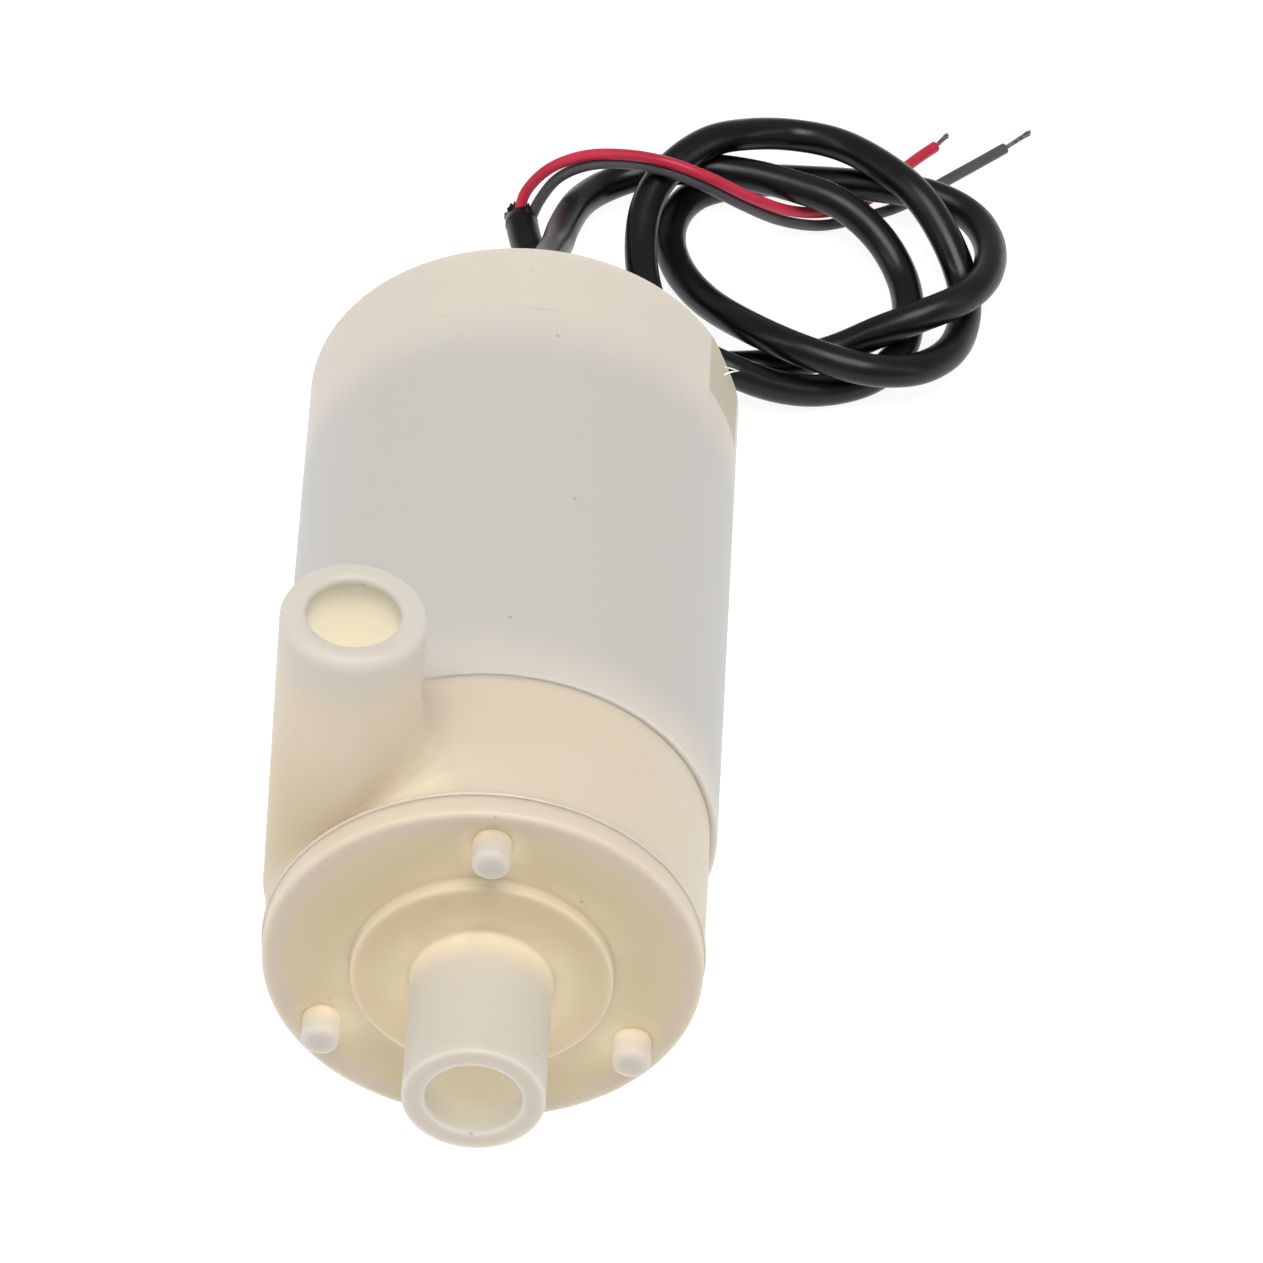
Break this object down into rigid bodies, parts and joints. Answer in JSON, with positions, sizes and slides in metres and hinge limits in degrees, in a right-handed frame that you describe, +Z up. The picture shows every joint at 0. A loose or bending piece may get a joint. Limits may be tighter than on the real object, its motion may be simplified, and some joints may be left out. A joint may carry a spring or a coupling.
{
  "type": "fountain submersible pump",
  "caption": "Small round submersible fountain pump: moulded inlet cover and volute head on a sealed motor housing, spinning rotor and impeller, two-wire cord.",
  "frame": {"origin": "on the surface the pump lies on, under the middle of the pump's own pieces without its cord", "axes": "+Y along the pump's axis from the inlet tube to the rear, where the cord leaves; +Z up, the way the outlet tube points; +X to the right seen from the inlet end"},
  "size_m": [0.0413, 0.0919, 0.0326],
  "materials": {
    "natural_nylon": "translucent natural moulding, satin",
    "white_plastic": "moulded, satin",
    "potting_resin": "cast resin, satin",
    "plated_steel": "plated, satin",
    "core_iron": "stamped and stacked",
    "ferrite": "sintered, matte",
    "copper": "bare copper",
    "bronze": "sintered, oiled",
    "seal_rubber": "moulded, matte",
    "cord_jacket": "extruded soft sheath, satin",
    "red_insulation": "extruded, satin",
    "grey_insulation": "extruded, satin",
    "tinned_copper": "dipped in solder"
  },
  "bodies": {
    "pump_body": {"inlet_cover": "natural_nylon", "pump_head": "natural_nylon", "motor_housing": "natural_nylon", "potting_plug": "potting_resin", "cable_seal": "seal_rubber", "shaft_seal": "seal_rubber", "motor_can": "plated_steel", "end_bell": "white_plastic", "front_bushing": "bronze", "rear_bushing": "bronze", "magnet_left": "ferrite", "magnet_right": "ferrite", "brush_left": "copper", "brush_right": "copper", "terminal_left": "copper", "terminal_right": "copper", "inner_lead_red": "red_insulation", "inner_lead_grey": "grey_insulation", "cord_jacket": "cord_jacket", "red_wire": "red_insulation", "grey_wire": "grey_insulation", "red_wire_tip": "tinned_copper", "grey_wire_tip": "tinned_copper"},
    "rotor": {"shaft": "plated_steel", "armature_core": "core_iron", "winding_1": "copper", "winding_2": "copper", "winding_3": "copper", "commutator": "copper", "front_washer": "white_plastic", "rear_washer": "white_plastic", "impeller": "white_plastic"}
  },
  "joints": [
    {"name": "rotor_spin", "type": "hinge", "parent": "pump_body", "child": "rotor", "pos_m": [0, 0, 0.012], "axis": [0, 1, 0], "continuous": true}
  ]
}
